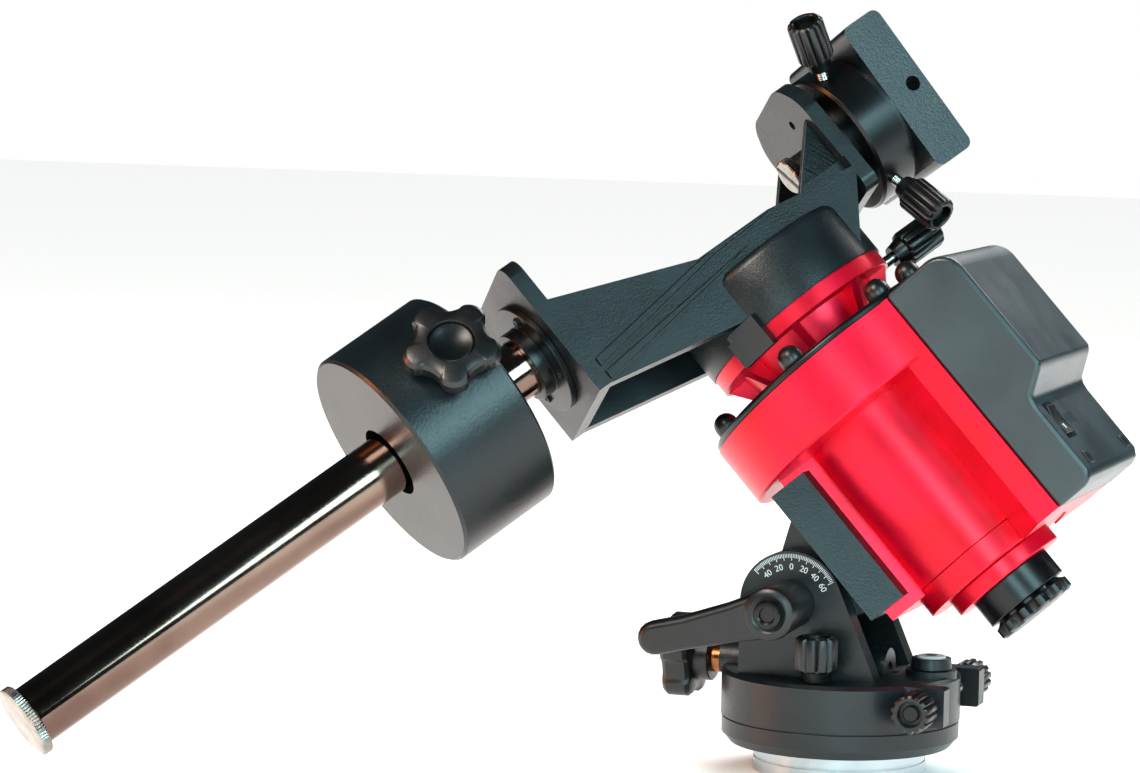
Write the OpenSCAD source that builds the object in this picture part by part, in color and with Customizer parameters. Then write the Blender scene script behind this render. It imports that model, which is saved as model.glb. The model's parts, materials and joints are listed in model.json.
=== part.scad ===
// Portable equatorial mount: a tilting, motor-driven polar axis on an altitude and azimuth base,
// with a declination arm, a counterweight on its shaft and a clamp for an instrument.
// Millimetres, +Z up. The origin is the mouth of the tripod thread, under the base.
// X lies in the meridian, so the polar axis leans in the XZ plane.

/* [Pose at rest] */
// Height of the polar axis above the horizon, in degrees
latitude = 47.7; // [46:0.1:50]
// Turn of the declination arm about the polar axis, in degrees
hour_turn = 38.3; // [30:0.1:46]
// Turn of the instrument clamp about the declination axis, in degrees
dec_turn = 9.3; // [0:0.1:20]

/* [Base] */
// Radius of the round base
base_r = 40.25; // [40:0.25:42]
// Height of the bright adapter that meets the tripod
adapter_h = 10; // [9:0.5:12]
// Radius of the adapter
adapter_r = 29; // [27:0.5:31]
// Height of the fixed ring of the base
ring_h = 9; // [8.5:0.5:10]
// Height of the turning housing above the fixed ring
housing_h = 15.7; // [15:0.1:16.5]
// Minor radius of the tripod thread
tripod_thread_r = 3.97; // [3.9:0.01:4.1]

/* [Yoke] */
// Distance from the middle to the outer face of each yoke plate
yoke_y = 25; // [24.5:0.1:25.5]
// Thickness of a yoke plate
yoke_t = 7.5; // [7:0.1:8]
// Radius of the round head of a yoke plate
yoke_r = 17.7; // [17:0.1:18]
// Height of the altitude pivot
pivot_z = 59; // [58.5:0.1:59.5]

/* [Polar axis] */
// Radius of the red head
head_r = 48.9; // [48:0.1:49]
// Radius of the barrel and of its lower flange
barrel_r = 28; // [27.5:0.1:28.5]
// Half width of the flat-sided part that carries the electronics
box_y = 35.5; // [34.5:0.1:36]
// Distance from the polar axis to the outer face of the electronics cover
box_q = 63.2; // [62:0.1:64]
// Radius of the red saddle on top of the polar axis
saddle_r = 34.8; // [34:0.1:35.2]

/* [Declination arm] */
// Distance from the arm's foot to the declination axis, along the polar axis
dec_z = 90.6; // [90:0.1:91]
// Distance from the polar axis to the outer face of the arm's end plate
plate_d = 80.7; // [80:0.1:82]
// Half width of the arm
arm_n = 26; // [25:0.1:27]
// Radius of the declination housing
dec_r = 25.7; // [25:0.1:26.5]

/* [Counterweight] */
// Radius of the counterweight
weight_r = 39.4; // [38:0.1:40]
// Length of the counterweight
weight_l = 38; // [34:0.5:40]
// Radius of the counterweight shaft
shaft_r = 10; // [9.8:0.1:10]
// Distance from the polar axis to the far face of the shaft's end cap
shaft_end = 291.6; // [280:0.1:300]

/* [Drive] */
// Teeth on a full turn of the altitude sector
sector_teeth = 60; // [60:1:60]
// Teeth on the worm wheel
wheel_teeth = 90; // [90:1:90]
// Teeth on the worm's gear and on the motor's pinion
gear_teeth = 24; // [24:1:24]
pinion_teeth = 12; // [12:1:12]

/* [Hidden] */

$fn = 72;
fit = 0.05;                 // radial running clearance of a shaft in its hole
gap = 0.3;                  // clearance between moving faces
cut = 1;                    // overshoot of a cutting solid
seam_z = adapter_h + ring_h;
top_z = seam_z + housing_h;
pivot_x = -10.7;
adjust_z = 35.2;            // axis of the altitude worm
sector_r = 20;
sector_worm_r = 3.4;
adjust_shaft_r = 3;
adjust_boss_r = 7.5;
spigot_top = seam_z + 6;
bolt_seat = seam_z + 8;     // floor of the recess for the azimuth bolt
sector_pitch = 2 * PI * sector_r / sector_teeth;
sector_turns = 8;
sector_worm_x = pivot_x - sector_turns * sector_pitch / 2;
polar_x = 15.5;             // a point on the polar axis, which the polar frame starts from
polar_z = seam_z + 96.2;
tilt = 90 - latitude;

// Polar frame: local X points up and away from the pole, Y along world Y, Z along the polar axis
head_top = 30.6;
head_bottom = 9;
barrel_end = -48;
flange_end = -56.4;
lock_end = -62;
scope_r = 14.9;
scope_end = -71.5;
focus_end = -77.3;
disc_top = 33.3;
rim_low = 44.8;
rim_top = 50.3;
ledge_q = 28.5;
ledge_top_q = 37.2;
foot_q = -32.5;             // underside of the body's dovetail foot
block_q = -36.2;            // underside of the dovetail saddle
block_top_q = -24;
block_p0 = -46;
block_p1 = 6.3;
shaft_out_r = 14;
shaft_in_r = 10.2;
wheel_r = 33.5;
wheel_p = 14.5;
tooth_a = 0.5;              // half height of a tooth
worm_r = 4.2;
worm_q = wheel_r + worm_r + 0.35;
tooth_pitch = 2 * PI * wheel_r / wheel_teeth;
gear_r = gear_teeth * tooth_pitch / (2 * PI);
pinion_r = pinion_teeth * tooth_pitch / (2 * PI);
gear_y = 21;                // far enough along the worm to pass the rim of the worm wheel
bearing_y = 11;
bearing_r = 5;
motor_q = 45.8;
motor_p = wheel_p - sqrt(pow(gear_r + pinion_r + 0.45, 2) - pow(motor_q - worm_q, 2));

// Declination frame: local X along the declination axis, Z along the polar axis
hub_r = 35.4;
arm_low = -36.5;            // lowest edge of the arm's side walls
deck_z = -9;                // top of the arm's deck
plate_t = 5.7;
clamp_d = 67;               // underside of the instrument saddle
disc_d0 = 50.7;
disc_d1 = 64.5;
upper_d0 = 39.5;            // plate that carries the declination housing
upper_d1 = 45;
weight_d = -143.5;          // outer face of the counterweight
knob_d = -117;
knob_turn = 14;             // turn of the star knob from square to the arm

module polar() { translate([polar_x, 0, polar_z]) rotate([0, -tilt, 0]) children(); }
module dec() { polar() translate([0, 0, dec_z]) rotate([0, 0, hour_turn]) children(); }
module clamp() { dec() rotate([dec_turn, 0, 0]) children(); }

// Cylinder along X from a to b
module rod_x(a, b, r, r2 = -1) {
    translate([a, 0, 0]) rotate([0, 90, 0]) cylinder(h = b - a, r1 = r, r2 = r2 < 0 ? r : r2);
}
// Cylinder along Y from a to b
module rod_y(a, b, r, r2 = -1) {
    translate([0, a, 0]) rotate([-90, 0, 0]) cylinder(h = b - a, r1 = r, r2 = r2 < 0 ? r : r2);
}
// Cylinder along Z from a to b
module rod_z(a, b, r, r2 = -1) {
    translate([0, 0, a]) cylinder(h = b - a, r1 = r, r2 = r2 < 0 ? r : r2);
}
// Hollow cylinder along Z
module tube_z(a, b, r_out, r_in) {
    difference() {
        rod_z(a, b, r_out);
        rod_z(a - cut, b + cut, r_in);
    }
}
// Disc with both rims bevelled
module bevelled(a, b, r, c) {
    rod_z(a, a + c, r - c, r);
    rod_z(a + c, b - c, r);
    rod_z(b - c, b, r, r - c);
}
// Fluted hand knob on Z: a collar at the bottom, finger grooves round the grip, a hollow end
module fluted_knob(a, b, r, flutes, collar = 3) {
    difference() {
        union() {
            rod_z(a, a + collar, r * 0.6, r * 0.78);
            rod_z(a + collar, b - 0.8, r);
            rod_z(b - 0.8, b, r, r - 0.8);
        }
        for (i = [0:flutes - 1])
            rotate([0, 0, i * 360 / flutes])
                translate([r + 0.5, 0, a + collar - cut])
                    cylinder(h = b - a, r = 1.25, $fn = 16);
        rod_z(b - 3.5, b + cut, r * 0.62);
    }
}
// Outline of teeth as a wave round a circle; a valley or a crest lies on +X by the sign of wave
module wave_gear(r, teeth, wave, steps) {
    polygon([for (i = [0:teeth * steps - 1])
        let (t = i * 360 / (teeth * steps), s = r + wave * cos(teeth * t))
            [s * cos(t), s * sin(t)]]);
}
// Prism along Y through points given as [x, z]
module slab_y(y0, y1, points) {
    translate([0, y1, 0]) rotate([90, 0, 0]) linear_extrude(y1 - y0) polygon(points);
}

// ---- Base ------------------------------------------------------------------------------------
module tripod_adapter() {
    color("silver") difference() {
        union() {
            bevelled(0, adapter_h, adapter_r, 0.8);
            rod_z(adapter_h - cut, adapter_h + 4, 18);
        }
        rod_z(-cut, 12, tripod_thread_r);
    }
}
module azimuth_ring() {
    color("#20262a") difference() {
        union() {
            rod_z(adapter_h, adapter_h + 3, base_r - 3, base_r - 0.6);
            rod_z(adapter_h + 3, seam_z - 0.5, base_r - 0.3);
            rod_z(seam_z - 0.5, seam_z, base_r - 0.8);
            rod_z(seam_z - 0.1, spigot_top, 12);
        }
        rod_z(adapter_h - cut, adapter_h + 4, 18 + fit);
        rod_z(adapter_h, top_z, 3);
        translate([33, 0, seam_z - 5]) cylinder(h = 10, r = 2.5);
    }
}
module azimuth_post() {
    color("silver") translate([33, 0, 0]) rod_z(seam_z - 5, seam_z + 10, 2.5);
}
module azimuth_pivot_bolt() {
    color("dimgray") {
        rod_z(adapter_h + 4.2, bolt_seat + 1, 3);
        rod_z(bolt_seat + fit, bolt_seat + 3.9, 6.5);
    }
}
module yoke_plate() {
    dx = 18.9 - pivot_x;
    dz = top_z - pivot_z;
    reach = sqrt(dx * dx + dz * dz);
    touch = atan2(dz, dx) + acos(yoke_r / reach);
    slab_y(0, yoke_t, [[-28.5, top_z - 2], [18.9, top_z - 2], [18.9, top_z],
        [pivot_x + yoke_r * cos(touch), pivot_z + yoke_r * sin(touch)],
        [pivot_x, pivot_z], [-28.4, pivot_z]]);
    translate([pivot_x, 0, pivot_z]) rod_y(0, yoke_t, yoke_r);
}
module altazimuth_housing() {
    color("#20262a") difference() {
        union() {
            difference() {
                union() {
                    rod_z(seam_z + 0.1, top_z - 1.2, base_r);
                    rod_z(top_z - 1.2, top_z, base_r, base_r - 1.2);
                }
                difference() {
                    rod_z(seam_z - cut, top_z - 5, base_r - 4);
                    rod_z(seam_z - 2 * cut, top_z, 16);
                }
                rod_z(seam_z - cut, spigot_top + fit, 12 + fit);
            }
            translate([0, -yoke_y, 0]) yoke_plate();
            translate([0, yoke_y - yoke_t, 0]) yoke_plate();
            for (side = [-1, 1])
                translate([35.4, side * 23, seam_z + 9])
                    cube([15, 7, 13], center = true);
            translate([31.3, 0, 0]) rod_z(top_z - cut, top_z + 2, 8.6);
            // Bosses that carry the altitude worm at both ends
            intersection() {
                translate([0, 0, adjust_z]) {
                    rod_x(-41, -30, adjust_boss_r);
                    rod_x(11, 17, adjust_boss_r);
                }
                translate([-60, -20, top_z - 3]) cube([80, 40, 20]);
            }
        }
        rod_z(seam_z, top_z + cut, 3 + fit);
        rod_z(bolt_seat, top_z + 4, 6.6);
        translate([pivot_x, 0, pivot_z]) rod_y(-30, 30, 4 + fit);
        for (side = [-1, 1])
            translate([35.4, 0, seam_z + 9])
                rod_y(side > 0 ? 5 : -30, side > 0 ? 30 : -5, 2 + fit);
        translate([1, -33.2, 0]) rod_z(seam_z, top_z + cut, 2.5 + fit);
        translate([31.3, 0, 0]) rod_z(top_z - 2, top_z + 4, 6);
        translate([0, 0, adjust_z]) rod_x(-45, -25, 5);
        translate([0, 0, adjust_z]) {
            rod_x(-25 - cut, 20, adjust_shaft_r + fit);
            rod_x(sector_worm_x - gap, sector_worm_x + sector_turns * sector_pitch + gap,
                sector_worm_r + tooth_a + gap);
        }
    }
}
module bubble_level_cup() {
    color("#20262a") translate([31.3, 0, 0]) difference() {
        union() {
            rod_z(top_z - 2, top_z + 2.1, 5.9);
            rod_z(top_z + 2.1, top_z + 6, 7, 6.6);
        }
        rod_z(top_z, top_z + 7, 5);
    }
}
module bubble_level_glass() {
    color("lightgray") translate([31.3, 0, 0]) rod_z(top_z, top_z + 6.6, 4.95);
}
module altitude_scale() {
    color("white") translate([pivot_x, -yoke_y, pivot_z]) rotate([90, 0, 0])
        linear_extrude(0.2) intersection() {
            difference() {
                circle(r = 16.8);
                circle(r = 13.4);
            }
            polygon([[0, 0], [30, 16], [30, 40], [-40, 40], [-34, 26]]);
        }
}
module azimuth_lock_knob() {
    color("#15181a") translate([1, -33.2, 0]) {
        rod_z(seam_z + 0.2, top_z + 1, 2.5);
        fluted_knob(top_z + 0.5, top_z + 15.5, 7.1, 12, 3.5);
    }
}
module azimuth_adjust_knob() {
    rotate([90, 0, 0]) {
        rod_z(6.6, 28, 2);
        fluted_knob(26.8, 42, 6.6, 16, 3);
    }
}
module azimuth_adjust_knob_near() {
    color("#15181a") translate([35.4, 0, seam_z + 9]) azimuth_adjust_knob();
}
module azimuth_adjust_knob_far() {
    color("#15181a") translate([35.4, 0, seam_z + 9]) mirror([0, 1, 0]) azimuth_adjust_knob();
}
module altitude_adjuster_bush() {
    color("#b87333") translate([0, 0, adjust_z]) difference() {
        union() {
            rod_x(-41, -30.5, 4.95);
            rod_x(-44.5, -41, 5);
        }
        rod_x(-50, -20, adjust_shaft_r + fit);
    }
}
// Screw thread as a round bar whose centre winds along X; a crest faces up at the pivot
module altitude_worm() {
    phase = 180 + 360 * (pivot_x - sector_worm_x) / sector_pitch;
    color("#b87333") translate([0, 0, adjust_z]) {
        translate([sector_worm_x, 0, 0]) rotate([0, 90, 0])
            linear_extrude(sector_turns * sector_pitch, twist = 360 * sector_turns,
                slices = sector_turns * 8, segments = 16)
                    translate([tooth_a * cos(phase), tooth_a * sin(phase)])
                        circle(r = sector_worm_r, $fn = 16);
        rod_x(-47, 16, adjust_shaft_r);
    }
}
module altitude_adjust_knob() {
    color("#15181a") translate([0, 0, adjust_z]) difference() {
        union() {
            rod_x(-50, -45, 8);
            rod_x(-61, -50, 12.4);
            for (i = [0:4])
                rotate([i * 72, 0, 0]) translate([0, 0, 11.2]) rod_x(-60.7, -50.4, 3.6);
        }
        for (i = [0:4])
            rotate([i * 72 + 36, 0, 0]) translate([0, 0, 15.4]) rod_x(-62, -48, 5);
        rod_x(-47, -40, adjust_shaft_r);
        rod_x(-62, -57.5, 5.5);
    }
}
module altitude_pivot_bolt() {
    color("dimgray") translate([pivot_x, 0, pivot_z]) {
        rod_y(-33, 25.2, 4);
        rod_y(25.1, 29, 8);
    }
}
module altitude_lever() {
    color("#15181a") translate([pivot_x, 0, pivot_z]) difference() {
        union() {
            rod_y(-49.5, -25.4, 8.1, 8.7);
            rod_y(-51, -49.5, 7.2, 8.1);
            rotate([0, -15.2, 0]) {
                slab_y(-50, -43, [[0, -6.6], [0, 6.6], [-42, 5], [-42, -5]]);
                translate([-42, 0, 0]) rod_y(-50, -43, 5);
            }
        }
        rod_y(-36, -25, 4 + fit);
        rod_y(-52, -44, 4.6);
    }
}
module altitude_lever_cap() {
    color("#0c0e10") translate([pivot_x, 0, pivot_z]) difference() {
        rod_y(-52.6, -44, 4.5);
        rod_y(-53, -50.5, 2.9);
    }
}

// ---- Tilting head ----------------------------------------------------------------------------
// The pivot seen from the polar frame
pivot_dx = pivot_x - polar_x;
pivot_dz = pivot_z - polar_z;
pivot_p = pivot_dx * -cos(latitude) + pivot_dz * sin(latitude);
pivot_q = pivot_dx * sin(latitude) + pivot_dz * cos(latitude);

module altitude_bracket() {
    web_y = yoke_y - yoke_t - gap;
    color("#20262a") difference() {
        union() {
            translate([pivot_x, 0, pivot_z]) {
                rod_y(-web_y, web_y, 13);
                // Toothed sector over the altitude worm
                translate([0, 3.5, 0]) rotate([90, 0, 0]) linear_extrude(7)
                    intersection() {
                        wave_gear(sector_r, sector_teeth, -tooth_a, 6);
                        polygon([[0, 0], [-30, -31], [-30, -40], [12, -40]]);
                    }
            }
            polar() for (side = [-1, 1])
                translate([0, side > 0 ? web_y - 7 : 0.1 - web_y, 0])
                    slab_y(0, 6.9, [[pivot_q, pivot_p - 12], [block_q, pivot_p - 19],
                        [block_q, pivot_p + 25], [pivot_q, pivot_p + 12]]);
        }
        translate([pivot_x, 0, pivot_z]) rod_y(-30, 30, 4 + fit);
    }
}
module dovetail_saddle() {
    half = 34;
    color("#20262a") polar() difference() {
        translate([0, 0, block_p0]) linear_extrude(block_p1 - block_p0)
            polygon([[block_q, -half], [block_top_q, -28.6], [block_top_q, 28.6],
                [block_q, half]]);
        translate([0, 0, block_p0 - cut]) linear_extrude(60)
            polygon([[foot_q - 0.05, -27.6], [-20, -18.85], [-20, 18.85],
                [foot_q - 0.05, 27.6]]);
        translate([-30.5, 0, -20]) rod_y(20, 40, 2.5 + fit);
    }
}
module dovetail_clamp_knob() {
    color("#15181a") polar() translate([-30.5, 0, -20]) rotate([-90, 0, 0]) {
        rod_z(27.7, 37, 2.5);
        fluted_knob(34.8, 49, 7, 12, 3);
    }
}
module ra_body() {
    color("#d4102a") polar() difference() {
        union() {
            rod_z(head_bottom, head_bottom + 0.8, head_r - 0.8, head_r);
            rod_z(head_bottom + 0.8, head_top, head_r);
            rod_z(barrel_end, head_bottom + cut, barrel_r);
            // Flat-sided ledge that carries the electronics
            translate([0, 0, -57]) linear_extrude(57 + head_top)
                polygon([[17.8, -21.7], [ledge_q, -box_y], [ledge_top_q, -box_y],
                    [ledge_top_q, box_y], [ledge_q, box_y], [17.8, 21.7]]);
            // Dovetail foot
            translate([0, 0, -50]) linear_extrude(50 + head_bottom + cut)
                polygon([[foot_q, -27.5], [-20.4, -19], [-20.4, 19], [foot_q, 27.5]]);
        }
        // The ledge stops short over the lower flange
        rod_z(-60, barrel_end, barrel_r + 0.2);
        // Cavity of the head, then the seats of the bearings, then the shaft tunnel
        rod_z(12, head_top + cut, 44);
        rod_z(0, 13, 20);
        rod_z(-60, 1, 15);
        rod_z(-60, -36, 20);
        // Pocket for the worm and its gear, open to the electronics
        translate([27.5, -24, 4]) cube([25, 48, 22]);
    }
    // Cradles that carry the bearings of the worm
    color("#d4102a") polar() difference() {
        for (side = [-1, 1])
            translate([33.2, side * bearing_y - 1.2, 3]) cube([4, 2.4, 10]);
        translate([worm_q, 0, wheel_p]) rod_y(-20, 20, bearing_r + 0.02);
    }
}
module ra_lower_flange() {
    color("#d4102a") polar() difference() {
        union() {
            rod_z(flange_end, barrel_end - 0.1, barrel_r);
            rod_z(barrel_end - 0.2, -44, 19.95);
        }
        rod_z(-60, -40, 15.2);
    }
}
module ra_lock_ring() {
    color("#d4102a") polar() difference() {
        union() {
            rod_z(lock_end, flange_end - 0.1, 20.6);
            rod_z(flange_end - 0.2, -52, 15.15);
        }
        rod_z(-70, -40, 12.6);
    }
}
module polar_scope_tube() {
    color("#17191b") polar() difference() {
        union() {
            rod_z(scope_end, lock_end - 0.1, scope_r);
            rod_z(lock_end - 0.2, -53, 12.5);
            rod_z(-55, 26, 9.9);
            rod_z(scope_end - 2, scope_end + cut, 11.6);
        }
        rod_z(-80, 30, 8.4);
    }
}
module polar_scope_focus_ring() {
    color("#17191b") polar() difference() {
        union() {
            rod_z(focus_end, scope_end - 0.2, 13);
            for (i = [0:11])
                rotate([0, 0, i * 30]) translate([12.6, 0, 0])
                    rod_z(focus_end, scope_end - 1.6, 2.3);
        }
        rod_z(-80, scope_end - 2.2, 11);
        rod_z(-80, -70, 11.6 + fit);
    }
}
module polar_scope_lenses() {
    color("lightblue", 0.5) polar() {
        rod_z(-72.4, -69.5, 8.4);
        rod_z(22, 25, 8.4);
    }
}

// ---- Polar drive -----------------------------------------------------------------------------
module ra_shaft() {
    color("silver") polar() difference() {
        union() {
            rod_z(-42, 20, shaft_out_r);
            rod_z(20, disc_top - 2.7 + fit, 22);
        }
        rod_z(-50, 40, shaft_in_r);
    }
}
module ra_bearings() {
    color("silver") polar() {
        tube_z(2, 10, 19.95, shaft_out_r + fit);
        tube_z(-43.8, -36.2, 19.95, shaft_out_r + fit);
    }
}
module worm_wheel() {
    color("#b08d3c") polar() difference() {
        translate([0, 0, wheel_p - 2.4]) linear_extrude(4.8)
            wave_gear(wheel_r, wheel_teeth, -tooth_a, 6);
        rod_z(0, 30, shaft_out_r + 0.02);
    }
}
module worm() {
    turns = 8;
    color("silver") polar() translate([worm_q, 0, wheel_p]) rotate([-90, 0, 0]) {
        translate([0, 0, -turns * tooth_pitch / 2])
            linear_extrude(turns * tooth_pitch, twist = 360 * turns, slices = turns * 8,
                segments = 16)
                translate([tooth_a * cos(180 + 180 * turns), 0])
                    circle(r = worm_r, $fn = 16);
        rod_z(-16, gear_y + 2, 2);
        translate([0, 0, gear_y - 1.5]) linear_extrude(3)
            wave_gear(gear_r, gear_teeth, tooth_a, 6);
    }
}
module worm_bearings() {
    color("dimgray") polar() translate([worm_q, 0, wheel_p]) rotate([-90, 0, 0])
        for (side = [-1, 1])
            translate([0, 0, side * bearing_y]) tube_z(-1.2, 1.2, bearing_r, 2 + fit);
}
// Angle of the line from the worm's axis to the motor's, in the plane across Y
mesh_turn = atan2(wheel_p - motor_p, motor_q - worm_q);
module motor_pinion() {
    color("#b08d3c") polar() translate([motor_q, 0, motor_p]) rotate([-90, 0, 0]) {
        translate([0, 0, gear_y - 2]) linear_extrude(4)
            rotate([0, 0, mesh_turn + 180 + mesh_turn * gear_teeth / pinion_teeth])
                wave_gear(pinion_r, pinion_teeth, -tooth_a, 6);
        rod_z(4, gear_y, 1.5);
    }
}
module drive_motor() {
    color("dimgray") polar() translate([motor_q, 0, motor_p]) rotate([-90, 0, 0])
        difference() {
            union() {
                rod_z(-22, 7, 8.2);
                rod_z(6.9, 8.4, 4);
            }
            rod_z(3.9, 9, 1.5 + fit);
        }
}
socket_y = [-26, 27];        // the two cable sockets along Y
module circuit_board() {
    color("darkgreen") polar() translate([41.5, -30, -52]) cube([1.6, 60, 30]);
}
module battery() {
    color("slateblue") polar() translate([44, -14, -51]) cube([6.5, 44, 22]);
}
module cover_outline(inset) {
    q1 = box_q - inset;
    q2 = 53 - inset;
    p1 = 31.3 - inset;
    polygon([[ledge_top_q + 0.1, -57.3 + inset], [q2 - 3, -57.3 + inset], [q2, -54.3 + inset],
        [q2, -28.6 + inset * 0.6], [q2 + 1.4, -24], [q1 - 2.2, -19.6 + inset * 0.8],
        [q1 - 0.6, -18.6 + inset * 0.8], [q1, -17 + inset * 0.8],
        for (i = [0:6]) [q1 - 9 + 9 * cos(i * 15), p1 - 9 + 9 * sin(i * 15)],
        [ledge_top_q + 0.1, p1]]);
}
module electronics_cover() {
    wall = 2.2;
    color("#2a3134") polar() difference() {
        translate([0, box_y, 0]) rotate([90, 0, 0]) linear_extrude(2 * box_y)
            cover_outline(0);
        translate([0, box_y - wall, 0]) rotate([90, 0, 0])
            linear_extrude(2 * (box_y - wall)) difference() {
                cover_outline(wall);
                translate([0, -100]) square([ledge_top_q - 1, 200]);
            }
        translate([ledge_top_q - 2, -box_y + wall, -55.1]) cube([5, 2 * (box_y - wall), 84]);
        // Room for the round head and for the disc that turns on it
        rod_z(head_bottom - 0.5, 40, head_r + 0.1);
        // Windows for the switch and the cable sockets
        translate([50, -29, -41.5]) cube([6, 11, 14]);
        for (y = socket_y) translate([50, y - 3.5, -52.6]) cube([6, 7, 5]);
    }
}
module power_switch() {
    color("#101214") polar() translate([51, -23.5, -34.5]) difference() {
        union() {
            rod_y(-4.5, 4.5, 2.6);
            slab_y(-4.5, 4.5, [[0, -5.4], [2.5, -5.2], [2.3, 0], [3.3, 5.2], [0.4, 5.4]]);
        }
        rod_y(-6, 6, 0.8);
    }
}
module cable_sockets() {
    color("#101214") polar() for (y = socket_y)
        translate([50.9, y - 3.4, -52.5]) difference() {
            cube([1.8, 6.8, 4.8]);
            translate([0.6, 1.2, 1]) cube([3, 4.4, 2.8]);
        }
}

// ---- Turning head of the polar axis ----------------------------------------------------------
module clutch_disc() {
    color("#17191b") polar() difference() {
        union() {
            rod_z(head_top + 0.1, disc_top - 1, head_r - 0.5);
            rod_z(disc_top - 1, disc_top, head_r - 0.5, head_r - 1.5);
        }
        rod_z(20, 40, shaft_in_r);
    }
}
module clutch_knobs() {
    color("#101214") polar() for (a = [210, -88, -37, -12])
        rotate([0, 0, a]) translate([42.2, 0, disc_top]) {
            rod_z(0, 2.4, 4.2);
            intersection() {
                translate([0, 0, 2.4]) sphere(r = 4.2);
                translate([-5, -5, 2.3]) cube([10, 10, 10]);
            }
        }
}
module ra_saddle() {
    color("#d4102a") polar() difference() {
        union() {
            rod_z(rim_low, rim_top, saddle_r);
            rod_z(disc_top, rim_low + 0.1, 24, 27);
            for (i = [0:7])
                rotate([0, 0, i * 45 + 12]) translate([18, -1.5, disc_top + 0.5])
                    slab_y(0, 3, [[0, 0], [8, 0], [15.8, 11], [15.8, 11.6], [0, 11.6]]);
        }
        rod_z(20, 60, shaft_in_r);
        rotate([0, 0, hour_turn]) translate([0, 0, 47.6]) rod_x(15, 40, 2 + fit);
    }
}
module ra_saddle_stud() {
    color("silver") polar() rotate([0, 0, hour_turn]) translate([0, 0, 47.6])
        rod_x(22, 44, 2);
}
module ra_saddle_knob() {
    color("#15181a") polar() rotate([0, 0, hour_turn]) translate([0, 0, 47.6])
        rotate([0, 90, 0]) difference() {
            fluted_knob(41.2, 60, 6.2, 12, 4.5);
            rod_z(40, 44, 2.02);
        }
}

// ---- Declination arm -------------------------------------------------------------------------
module dec_arm() {
    inner = arm_n - 5;
    plate_in = -plate_d + plate_t;
    color("#20262a") dec() difference() {
        union() {
            // Round hub on the red saddle
            rod_z(rim_top - dec_z + 0.05, -26, hub_r);
            // End plate for the counterweight shaft
            translate([-plate_d, -26.4, -25.6]) cube([plate_t, 52.8, 52.8]);
            // Deck, thick at the plate and level over the hub
            slab_y(-arm_n, arm_n, [[plate_in - cut, -15.2], [44, -15.2], [upper_d0, deck_z],
                [-25, deck_z], [plate_in - cut, 9.4]]);
            // Side walls
            for (side = [-1, 1])
                translate([0, side > 0 ? inner : -arm_n, 0])
                    slab_y(0, 5, [[plate_in - cut, -15], [plate_in - cut, -25.6],
                        [-18, arm_low], [24, arm_low], [40, -15]]);
            // Hook over the rim of the red saddle
            rotate([0, 0, -140]) translate([hub_r - 3, -7, rim_top - dec_z - 6.8])
                cube([5.6, 14, 12]);
            // Upper plate with clipped corners
            slab_x(upper_d0, upper_d1, [[-24.5, -23], [24.5, -23], [24.5, 15.5], [16, 25],
                [-16, 25], [-24.5, 15.5]]);
            // Collar under the head of the centre screw
            rod_x(33.7, upper_d0 + cut, 5.5);
            // Gussets behind the upper plate
            for (y = [-21, 18])
                translate([0, y, 0])
                    slab_y(0, 3, [[upper_d0 + cut, 9.5], [upper_d0 + cut, -12],
                        [22, -12], [22, deck_z]]);
        }
        // Channel between the side walls
        translate([plate_in, -inner, arm_low - cut]) cube([43.5, 2 * inner, 20.3]);
        // Scooped top of the deck near the end plate
        slab_y(-inner, inner, [[plate_in, -4], [plate_in, 12], [-30, 0], [-30, -4]]);
        // Holes for the shaft, the centre screw and the set screw
        rod_x(-plate_d - cut, plate_in + cut, 6 + fit);
        rod_x(30, 50, 3 + fit);
        translate([0, -9, 12.5]) rod_x(30, 50, 1.6);
        // Clearance of the red saddle under the hook
        rod_z(-60, rim_top - dec_z, saddle_r + 0.1);
    }
}
// Prism along X through points given as [y, z]
module slab_x(x0, x1, points) {
    translate([x0, 0, 0]) rotate([90, 0, 90]) linear_extrude(x1 - x0) polygon(points);
}
module shaft_flange() {
    color("#17191b") dec() difference() {
        union() {
            rod_x(-plate_d - 2.2, -plate_d, 20);
            rod_x(-plate_d - 7, -plate_d - 2.1, 12.6);
        }
        rod_x(-100, -70, shaft_r + 0.02);
        for (i = [0:3])
            rotate([i * 90 + 45, 0, 0]) translate([0, 0, 16]) rod_x(-90, -70, 1.5 + fit);
    }
}
module flange_screws() {
    color("#101214") dec() for (i = [0:3])
        rotate([i * 90 + 45, 0, 0]) translate([0, 0, 16])
            difference() {
                rod_x(-plate_d - 3.2, -plate_d, 1.5);
                rod_x(-90, -plate_d - 2, 0.7);
            }
}
module counterweight_shaft() {
    color("gainsboro") dec() difference() {
        union() {
            rod_x(-shaft_end + 3.8, -plate_d, shaft_r);
            rod_x(-plate_d - 0.1, -plate_d + plate_t, 6);
        }
        rod_x(-shaft_end, -shaft_end + 16, 3 + fit);
    }
}
module shaft_end_cap() {
    color("silver") dec() {
        rod_x(-shaft_end, -shaft_end + 0.5, 11.8, 12.3);
        rod_x(-shaft_end + 0.5, -shaft_end + 3.7, 12.3);
        rod_x(-shaft_end + 3.6, -shaft_end + 14, 3);
    }
}
module counterweight() {
    color("#17191b") dec() difference() {
        union() {
            rod_x(weight_d, weight_d + 1, weight_r - 1, weight_r);
            rod_x(weight_d + 1, weight_d + weight_l - 1, weight_r);
            rod_x(weight_d + weight_l - 1, weight_d + weight_l, weight_r, weight_r - 1);
        }
        rod_x(-200, -80, shaft_r + fit);
        rod_x(weight_d - cut, weight_d + 5, 12.5);
        translate([knob_d, 0, 0]) rotate([90 - knob_turn, 0, 0]) rod_z(0, 45, 3 + fit);
    }
}
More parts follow.
